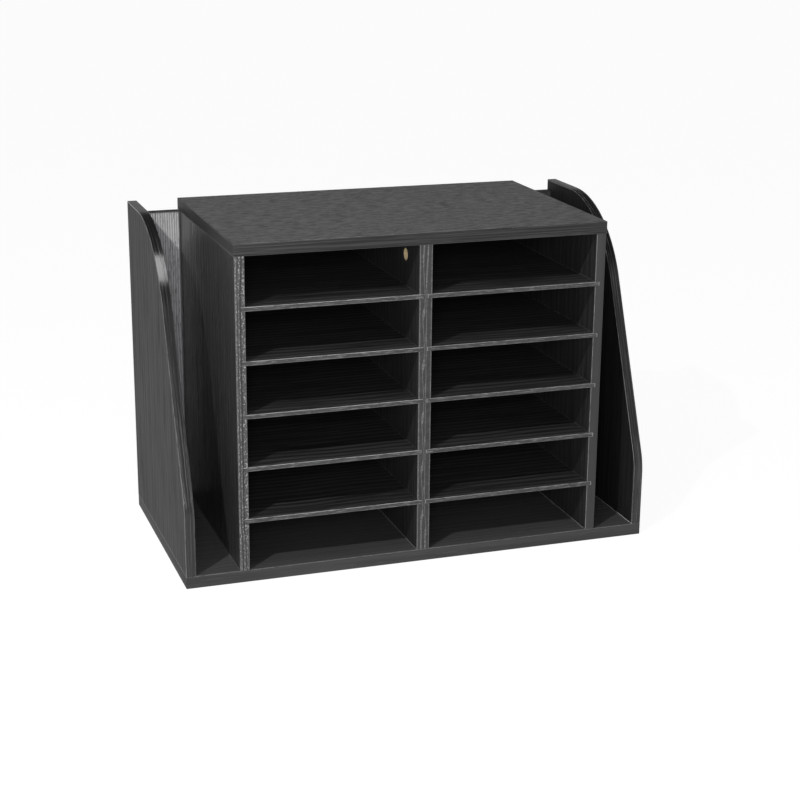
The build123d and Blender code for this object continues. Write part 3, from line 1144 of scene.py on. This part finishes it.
def cut_cross(mesh: Mesh, length: float, width: float, depth: float) -> Mesh:
    """A mesh with a cross slot cut into its face at height 0.

    Each arm is cut by a block about the origin: a rectangle carried up its height.

    Args:
        mesh: the mesh. It is removed.
        length: the length of the slot's arms.
        width: their width.
        depth: their depth.

    Returns:
        The cut mesh.
    """
    for size in ((length, width), (width, length)):
        x, y = (np.array([(-1, -1), (1, -1), (1, 1), (-1, 1)]) / 2 * size).T
        block = Surface(x, y, np.array([[-depth], [depth]]), np.array([0, 2 * depth]),
                        np.arange(4.0))
        mesh = cut_mesh(mesh, block.mesh())
    return mesh


@dataclass
class Fittings:
    """The fittings of one kind, which share a CAD node, each in the box of one of its solids."""

    finish: Material
    node: ClassVar[str]
    slot: ClassVar[str]

    def forms(self, boxes: np.ndarray) -> list[Mesh]:
        """The meshes of the fittings, one to a box."""
        raise NotImplementedError

    def build(self) -> Object:
        """Makes all of them in the place of their CAD node."""
        mesh = joined_mesh(self.forms(solid_boxes(self.node)))
        return place_piece(mesh, self.node, CABINET, self.finish)


@dataclass
class CamLocks(Fittings):
    """The cast lock housings in the divider's left face."""

    node: ClassVar[str] = "cam_locks"
    slot: ClassVar[str] = "cam_lock"
    slot_length: float = 7 * MM
    slot_width: float = 1.2 * MM
    slot_depth: float = 3 * MM
    well_radius: float = 3.6 * MM
    well_floor: float = 2.1 * MM
    well_overrun: float = 1 * MM
    well_steps: int = 40
    lip: float = 0.9 * MM
    dish: float = 0.25 * MM
    waist: float = 0.25 * MM
    steps: int = 72

    def drum(self, radius: float, length: float) -> Mesh:
        """A housing about the Z axis, its face at height 0, without the bolt's well.

        It is a dished face in a rounded lip, with a cross slot, a body with a shallow waist and a
        chamfered back.

        Args:
            radius: its radius.
            length: its length.

        Returns:
            The mesh.
        """
        r, inner, dish, waist = radius, radius - self.lip, self.dish, radius - self.waist
        profile = np.array([(0, dish), (inner - 0.3 * MM, dish), (inner, 0.04 * MM),
                            (inner + 0.15 * MM, 0), (r - 0.2 * MM, 0), (r - 0.06 * MM, 0.06 * MM),
                            (r, 0.2 * MM), (r, length * 0.3), (waist, length * 0.36),
                            (waist, length * 0.62), (r, length * 0.68), (r, length - 0.4 * MM),
                            (r - 0.4 * MM, length), (0, length)])
        return cut_cross(turned(profile, self.steps).mesh(), self.slot_length, self.slot_width,
                         self.slot_depth)

    def forms(self, boxes: np.ndarray) -> list[Mesh]:
        """The housings, each with the well that its bolt hangs in.

        Args:
            boxes: their boxes.

        Returns:
            The meshes.
        """
        meshes, towards_left = [], Matrix.Rotation(math.pi / 2, 3, "Y")
        for low, high in boxes:
            radius, (_, y, z) = (high[1] - low[1]) / 2, (low + high) / 2
            housing = moved_mesh(self.drum(radius, high[0] - low[0]), (low[0], y, z), towards_left)
            rise = radius + self.well_floor + self.well_overrun
            profile = [(0, 0), (self.well_radius, 0), (self.well_radius, rise), (0, rise)]
            well = turned(np.array(profile), self.well_steps).mesh()
            meshes.append(cut_mesh(housing, moved_mesh(well, (0, y, z - self.well_floor))))
        return meshes


@dataclass
class CamBolts(Fittings):
    """The bolts that hang from the top board into the cam locks."""

    node: ClassVar[str] = "cam_bolts"
    slot: ClassVar[str] = "steel"
    thread_length: float = 10 * MM
    neck_length: float = 3.4 * MM
    head_height: float = 3.6 * MM
    shank_radius: float = 3 * MM
    neck_radius: float = 2 * MM
    head_radius: float = 3.3 * MM
    bevel: float = 0.35 * MM
    pitch: float = 2.5 * MM
    depth: float = 0.8 * MM
    steps: int = 36

    def forms(self, boxes: np.ndarray) -> list[Mesh]:
        """The bolts, each turned from head to thread.

        Args:
            boxes: their boxes.

        Returns:
            The meshes.
        """
        meshes, bevel, head = [], self.bevel, self.head_radius
        neck, shank = self.head_height, self.head_height + self.neck_length
        for low, high in boxes:
            radius, tall, middle = (high[0] - low[0]) / 2, high[2] - low[2], (low + high) / 2
            start = tall - self.thread_length
            profile = filled([(0, 0), (head - bevel, 0), (head, bevel), (head, neck - bevel),
                              (head - bevel, neck), (self.neck_radius, neck),
                              (self.neck_radius, shank), (self.shank_radius, shank + bevel),
                              (self.shank_radius, start), (radius, start), (radius, tall - bevel),
                              (radius - bevel, tall), (0, tall)], bevel)
            cuts = thread(profile[:, 1], self.steps, self.pitch, self.depth, start, tall)
            cuts = cuts * (profile[:, :1] > self.shank_radius)
            bolt = turned(profile, self.steps, cuts).mesh()
            meshes.append(moved_mesh(bolt, (middle[0], middle[1], low[2])))
        return meshes


@dataclass
class Screws(Fittings):
    """The countersunk screws through the base board."""

    node: ClassVar[str] = "base_screws"
    slot: ClassVar[str] = "steel"
    shank_radius: float = 2 * MM
    tip_length: float = 4 * MM
    tip_plain: float = 0.5 * MM
    rim: float = 0.1 * MM
    slot_length: float = 4 * MM
    slot_width: float = 0.9 * MM
    slot_depth: float = 1.6 * MM
    pitch: float = 1.8 * MM
    depth: float = 0.55 * MM
    plain_length: float = 4 * MM
    steps: int = 24

    def screw(self, head_radius: float, length: float) -> Mesh:
        """One screw about the Z axis: a flat head, its cone, a threaded shank and a pointed tip.

        Args:
            head_radius: the radius of its head.
            length: its whole length.

        Returns:
            The mesh.
        """
        cone, shank = head_radius - self.shank_radius, self.shank_radius
        profile = filled([(0, 0), (head_radius - self.rim, 0), (head_radius, self.rim),
                          (shank, cone), (shank, length - self.tip_length), (0, length)],
                         self.pitch / 5)
        cuts = thread(profile[:, 1], self.steps, self.pitch, self.depth,
                      cone + self.plain_length, length - self.tip_plain)
        return cut_cross(turned(profile, self.steps, cuts).mesh(), self.slot_length,
                         self.slot_width, self.slot_depth)

    def forms(self, boxes: np.ndarray) -> list[Mesh]:
        """One screw, repeated in every box.

        Args:
            boxes: their boxes.

        Returns:
            The meshes.
        """
        low, high = boxes[0]
        one = self.screw((high[0] - low[0]) / 2, high[2] - low[2])
        meshes = [moved_mesh(one.copy(), ((a[0] + b[0]) / 2, (a[1] + b[1]) / 2, a[2]))
                  for a, b in boxes]
        bpy.data.meshes.remove(one)
        return meshes


@dataclass
class Dowels(Fittings):
    """The fluted wooden dowels between the boards."""

    node: ClassVar[str] = "wood_dowels"
    slot: ClassVar[str] = "dowel"
    flutes: int = 12
    flute_steps: int = 6
    flute_depth: float = 0.22 * MM
    chamfer: float = 0.6 * MM

    def dowel(self, radius: float, length: float) -> Mesh:
        """One dowel about the Z axis, with chamfered ends.

        Round it the radius dips by the flute's depth, as the square of a raised cosine of the
        angle times the number of flutes.

        Args:
            radius: its radius.
            length: its length.

        Returns:
            The mesh.
        """
        c, steps = self.chamfer, self.flutes * self.flute_steps
        profile = np.array([(0, 0), (radius - c, 0), (radius, c), (radius, length / 2),
                            (radius, length - c), (radius - c, length), (0, length)])
        angle = np.linspace(0, math.tau, steps, endpoint=False)
        dip = -self.flute_depth * (0.5 - 0.5 * np.cos(self.flutes * angle)) ** 2
        return turned(profile, steps, dip * (profile[:, :1] > radius - c / 2)).mesh()

    def forms(self, boxes: np.ndarray) -> list[Mesh]:
        """The dowels, each along the longest side of its box.

        Args:
            boxes: their boxes.

        Returns:
            The meshes.
        """
        meshes = []
        for low, high in boxes:
            size, middle = high - low, (low + high) / 2
            upright = size.argmax() == 2
            turn = None if upright else Matrix.Rotation(math.pi / 2, 3, "Y")
            foot = (middle[0], middle[1], low[2]) if upright else (low[0], middle[1], middle[2])
            meshes.append(moved_mesh(self.dowel(size.min() / 2, size.max()), foot, turn))
        return meshes


@dataclass
class Boards:
    """The boards, whose CAD shapes are right and only take their laminate."""

    level: Laminate
    base: Laminate
    outer: dict[str, Laminate]
    inner: dict[str, Laminate]
    divider: Laminate
    back: Laminate
    pocket_back: dict[str, Laminate]
    shelf: Laminate

    def finishes(self) -> dict[str, Laminate]:
        """Each board's laminate.

        Returns:
            The laminates by the name of the board's CAD node.
        """
        table = {"top_board": self.level, "base_board": self.base, "centre_divider": self.divider,
                 "back_panel": self.back}
        for side in SIDES:
            table[f"outer_panel_{side}"] = self.outer[side]
            table[f"inner_panel_{side}"] = self.inner[side]
            table[f"pocket_back_{side}"] = self.pocket_back[side]
            table |= {f"shelf_{side}_{number}": self.shelf for number in SHELF_NUMBERS}
        return table

    def dress(self) -> None:
        """Gives every board its own laminate."""
        for node, laminate in self.finishes().items():
            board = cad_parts[node]
            board.data.materials.clear()
            board.data.materials.append(laminate.build(f"{node}_laminate", *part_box(node)))
            log.info("%s: laminate, grain %s", node, laminate.grain.name)


@dataclass
class Bands:
    """All the edge bands, and their finishes."""

    base: EdgeBand
    top: EdgeBand
    crown: dict[str, EdgeBand]
    inner: dict[str, EdgeBand]
    divider: EdgeBand
    shelf: dict[str, EdgeBand]

    def build(self) -> None:
        """Makes every band, from the base up and from the outside in.

        Each has its own seed, so that no two show the same stretch of grain.
        """
        for board, band, seed in (("base", self.base, 0.3), ("top", self.top, 1.9)):
            node = f"{board}_edge_band"
            LevelBand(node, band.build(f"band_{board}", width_of(node, 2)), seed).build()
        for side, sign in SIDES.items():
            node = f"outer_edge_band_{side}"
            crown = self.crown[side].build(f"band_crown_{side}", width_of(node, 0))
            CurvedBand(node, crown, 2.0 + sign).build()
            node = f"inner_edge_band_{side}"
            inner = self.inner[side].build(f"band_inner_{side}", width_of(node, 0))
            UprightBand(node, inner, 4.0 + sign, notches=(sign > 0, sign < 0)).build()
            thickness = width_of(f"shelf_band_{side}_1", 2)
            shelf = self.shelf[side].build(f"band_shelf_{side}", thickness)
            for number in SHELF_NUMBERS:
                ShelfBand(f"shelf_band_{side}_{number}", shelf,
                          number * 0.7 + (5.0 if side == "right" else 0.0),
                          f"shelf_{side}_{number}").build()
        node = "divider_edge_band"
        UprightBand(node, self.divider.build("band_divider", width_of(node, 0)), 7.0).build()


@dataclass(frozen=True)
class SoftLight:
    """An area light, and which surfaces see it."""

    name: str
    place: Point
    aim: Point
    size: tuple[float, float]
    power: float
    shape: str = "RECTANGLE"
    colour: tuple[float, float, float] = (1.0, 1.0, 1.0)
    diffuse: bool = True
    glossy: bool = True

    def hang(self) -> None:
        """Hangs the light."""
        lamp = bpy.data.lights.new(self.name, "AREA")
        lamp.shape, lamp.energy, lamp.color = self.shape, self.power, self.colour
        lamp.size, lamp.size_y = self.size
        light = new_object(self.name, lamp)
        light.location = self.place
        way = Vector(self.aim) - Vector(self.place)
        light.rotation_euler = way.to_track_quat("-Z", "Y").to_euler()
        light.visible_diffuse, light.visible_glossy = self.diffuse, self.glossy


CAMERA_PLACE = (-0.6748, -2.0200, 0.8122)
OBJECT_MIDDLE = (0.0, 0.0, 0.2)
SOFTBOX = {"place": (-0.3, -0.44, 1.55), "aim": (-0.3, -0.44, 0.0), "size": (0.95, 0.68)}
VEIL = {"place": CAMERA_PLACE, "aim": OBJECT_MIDDLE, "size": (0.4, 0.4),
        "colour": (0.97, 0.98, 1.03)}
LIGHTS = (
    SoftLight("key_light", (-1.81, -1.71, 2.34), OBJECT_MIDDLE, (0.04, 0.04), 52.0, "ELLIPSE"),
    SoftLight("softbox", power=17.0, diffuse=False, **SOFTBOX),
    SoftLight("overhead_light", power=3.0, glossy=False, **SOFTBOX),
    SoftLight("fill_light", (-1.6, -1.9, 0.5), (-0.1, 0.0, 0.2), (1.0, 0.7), 6.0),
    SoftLight("veil_light", power=10.0, **VEIL),
    SoftLight("sheen_light", power=17.0, diffuse=False, **VEIL),
)


@dataclass
class Studio:
    """The pale floor, the soft surroundings and the camera.

    The angles are in degrees. focal_pixels is the focal length in pixels of the picture. The
    surroundings are front_horizon and rear_horizon bright up to the first of the angles in
    front_fade and rear_fade, and zenith bright beyond the second. Scattered light takes only
    scattered_share of them.
    """

    azimuth: float = -18.99
    elevation: float = 16.96
    roll: float = 0.47
    focal_pixels: float = 1738.3
    sensor_width: float = 36.0
    far_clip: float = 200.0
    floor_reach: float = 30.0
    floor_drop: float = 0.2 * MM
    floor_glow: float = 0.94
    floor_tone: float = 0.08
    floor_roughness: float = 0.9
    front_horizon: float = 0.75
    rear_horizon: float = 0.31
    front_fade: tuple[float, float] = (18.0, 56.0)
    rear_fade: tuple[float, float] = (13.0, 26.0)
    zenith: float = 0.06
    scattered_share: float = 0.62

    def build(self) -> None:
        """Makes the floor, the surroundings, the lights and the camera."""
        self.lay_floor()
        self.light_world()
        for light in LIGHTS:
            light.hang()
        self.set_camera()
        settings = bpy.context.scene.view_settings
        settings.view_transform = "Standard"
        settings.look = "None"

    def lay_floor(self) -> None:
        """Lays a pale floor that is partly lit from within, so that shadows on it stay faint."""
        corners = [(x * self.floor_reach, y * self.floor_reach, -self.floor_drop)
                   for x, y in ((-1, -1), (1, -1), (1, 1), (-1, 1))]
        mesh = bpy.data.meshes.new("floor")
        mesh.from_pydata(corners, [], [(0, 1, 2, 3)])
        mesh.materials.append(Coat("pale_floor").finish({
            "Base Color": grey(self.floor_tone), "Roughness": self.floor_roughness,
            "Emission Color": grey(1.0), "Emission Strength": self.floor_glow}))
        new_object("floor", mesh)

    def light_world(self) -> None:
        """Surrounds the scene with a bright band above the horizon, under a dark ceiling.

        The band is brighter and reaches higher in front of the object than behind it.
        """
        world = bpy.data.worlds.new("studio")
        bpy.context.scene.world = world
        world.use_nodes = True
        world.node_tree.nodes.clear()
        net = Net(world.node_tree)
        _, rearwards, upwards = net.parts(net.add("ShaderNodeTexCoord").outputs["Generated"])
        horizon = net.ramp(rearwards, -0.5, 0.5, self.front_horizon, self.rear_horizon)
        fade = [net.ramp(rearwards, -0.5, 0.5, *(math.sin(math.radians(a)) for a in ends))
                for ends in zip(self.front_fade, self.rear_fade)]
        strength = net.ramp(upwards, *fade, horizon, self.zenith)
        rays = net.add("ShaderNodeLightPath").outputs
        strength = net.times(strength, net.scale(rays["Is Diffuse Ray"], 1.0, self.scattered_share))
        shown = net.scale(rays["Is Camera Ray"], strength, 1.0)
        light = net.add("ShaderNodeBackground", {0: grey(1.0), 1: shown})
        net.add("ShaderNodeOutputWorld", {0: light.outputs[0]})

    def set_camera(self) -> None:
        """Sets the camera at the photograph's angle, with its roll and its focal length."""
        turn, lift, roll = (math.radians(a) for a in (self.azimuth, self.elevation, self.roll))
        back = Vector((math.sin(turn) * math.cos(lift), -math.cos(turn) * math.cos(lift),
                       math.sin(lift)))
        right = Vector((0, 0, 1)).cross(back).normalized()
        up = back.cross(right)
        across = right * math.cos(roll) + up * math.sin(roll)
        upward = up * math.cos(roll) - right * math.sin(roll)
        data = bpy.data.cameras.new("camera")
        data.sensor_width = self.sensor_width
        data.lens = self.focal_pixels / PICTURE_SIZE * self.sensor_width
        data.clip_end = self.far_clip
        camera = new_object("camera", data)
        facing = Matrix((across, upward, back)).transposed().to_4x4()
        camera.matrix_world = Matrix.Translation(CAMERA_PLACE) @ facing
        bpy.context.scene.camera = camera


def board_finishes() -> Boards:
    """The laminates of the boards.

    Returns:
        The boards.
    """
    upright = Laminate(Grain.ALONG_Z, tone=0.012, contrast=0.8, level=0.35, foot=0.2,
                       pore_width=4 * MM, grooved=0.0, roughness=0.7, pore_roughness=0.06,
                       arris=0.075)
    # Painted light: the left pocket back is a lit copy, far lighter than the black board, with
    # painted shade along its joints.
    pocket = Laminate(Grain.ALONG_Z, tone=0.45, contrast=0.7, pore_length=20 * MM,
                      pore_width=1.2 * MM, waver=0.6 * MM, cover=0.45, roughness=0.6, figure=0.1,
                      rings=0.7, pitch=3.1 * MM, arris=0.004, arris_reach=3 * MM,
                      arris_cover=(0.9, 1.0), relief=0.3, behind=0.03)
    outer = Laminate(Grain.ALONG_Z, roughness=0.7, level=0.26, contrast=0.6, foot=0.12,
                     pore_width=4 * MM, pore_roughness=0.06, relief=0.3, figure=0.1, rings=0.5)
    return Boards(
        level=Laminate(Grain.ALONG_X, tone=0.093, contrast=0.45, roughness=0.36, arris=0.05,
                       figure=0.0, pore_length=18 * MM, pore_width=5 * MM,
                       pore_roughness=0.08, relief=0.12, rings=0.0, cover=0.8),
        base=Laminate(Grain.ALONG_X, tone=0.055, contrast=0.15, figure=0.1, rings=0.2,
                      pore_length=200 * MM, pore_width=5 * MM),
        # The right outer panel is a shaded copy of the left: darker, with a brighter painted
        # highlight line at its foot.
        outer={"left": outer, "right": replace(outer, tone=0.009, level=0.2, foot=0.4)},
        # The left inner panel is a lit copy, lighter than the right, with a painted reflection that
        # lightens its rear.
        inner={"left": replace(upright, tone=0.034, contrast=0.3, roughness=0.3, relief=0.3,
                               level=0.4, pore_roughness=0.08, grooved=1.0, rear_gain=3.2),
               "right": replace(upright, grooved=-1.0)},
        divider=upright,
        back=Laminate(Grain.ALONG_Z, tone=0.04, contrast=0.2, figure=0.1, rings=0.0, level=0.15),
        # The left pocket back is the lit copy; the right one keeps the board's own dark tone.
        pocket_back={"left": pocket, "right": replace(pocket, tone=0.04, behind=None)},
        shelf=Laminate(Grain.ALONG_X, tone=0.025, contrast=0.95, level=0.35, pore_length=200 * MM,
                       pore_width=4 * MM, rings=1.0, pitch=12 * MM, rim_tone=0.06, arris=0.08,
                       roughness=0.7, pore_roughness=0.0, relief=0.3),
    )


def band_finishes() -> Bands:
    """The finishes of the edge bands.

    Returns:
        The bands.
    """
    crown = EdgeBand(roughness=0.18, tone=0.005, streak=0.04, streak_length=120 * MM, cover=0.6,
                     relief=0.3, columns=0.6, column_pitch=3.4 * MM)
    shelf = EdgeBand(tone=0.033, streak=0.18, roughness=0.6, level=0.35, relief=0.3,
                     streak_width=1.2 * MM, streak_length=14 * MM, edges=(0.24, 0.36),
                     edge_reach=(0.4 * MM, 0.4 * MM))
    dashes = EdgeBand(tone=0.034, streak=0.18, roughness=0.6, level=0.3, cover=0.6, relief=0.3,
                      streak_width=1.2 * MM, streak_length=3 * MM, waver=0.2 * MM, columns=1.0,
                      column_pitch=5.2 * MM, edges=(0.09, 0.09))
    return Bands(
        base=EdgeBand(tone=0.033, streak=0.058, cover=0.3, relief=0.15, roughness=0.7, level=0.25,
                      edges=(0.04, 0.15), edge_reach=(0.4 * MM, 0.4 * MM)),
        top=EdgeBand(tone=0.014, streak=0.055, cover=0.8, roughness=0.6, level=0.2,
                     streak_width=1.5 * MM, streak_length=200 * MM, columns=0.2, relief=0.15,
                     column_pitch=3.4 * MM, edges=(0.06, 0.13), edge_reach=(0.45 * MM, 0.45 * MM),
                     side_low=0.1),
        crown={"left": crown, "right": replace(crown, streak=0.09, level=0.4)},
        inner={"left": replace(dashes, tone=0.006, streak=0.3, roughness=0.5, level=0.5, cover=0.5,
                               column_pitch=4.4 * MM, column_floor=0.12, column_start=1.6 * MM,
                               column_fill=0.3, edges=(0.1, 0.1)),
               "right": EdgeBand(tone=0.018, streak=0.03, cover=0.3, relief=0.15, roughness=0.7,
                                 edges=(0.14, 0.03))},
        divider=dashes,
        # The right shelf bands are a shaded copy of the left: fainter streaks and painted highlight
        # lines, with painted highlights at their ends.
        shelf={"left": shelf, "right": replace(shelf, streak=0.16, edges=(0.15, 0.26), ends=0.25)},
    )


def main() -> None:
    """Builds and dresses the organizer from the boards to the fittings, then the studio."""
    logging.basicConfig(level=logging.INFO, format="%(name)s: %(message)s")
    board_finishes().dress()
    band_finishes().build()
    # Painted glint: the housings take a near-white pale brass colour with the metal turned off,
    # which stands in for their glint.
    brass = CastMetal((0.98, 0.80, 0.48, 1.0), (0.85, 0.62, 0.32, 1.0), roughness=0.4, metallic=0.0)
    steel = CastMetal((0.55, 0.56, 0.58, 1.0), (0.33, 0.33, 0.34, 1.0)).build("zinced_steel")
    CamLocks(brass.build("cast_brass_painted_glint")).build()
    CamBolts(steel).build()
    Screws(steel).build()
    Dowels(PlainBeech().build("beech")).build()
    Studio().build()


if __name__ == "__main__":
    main()
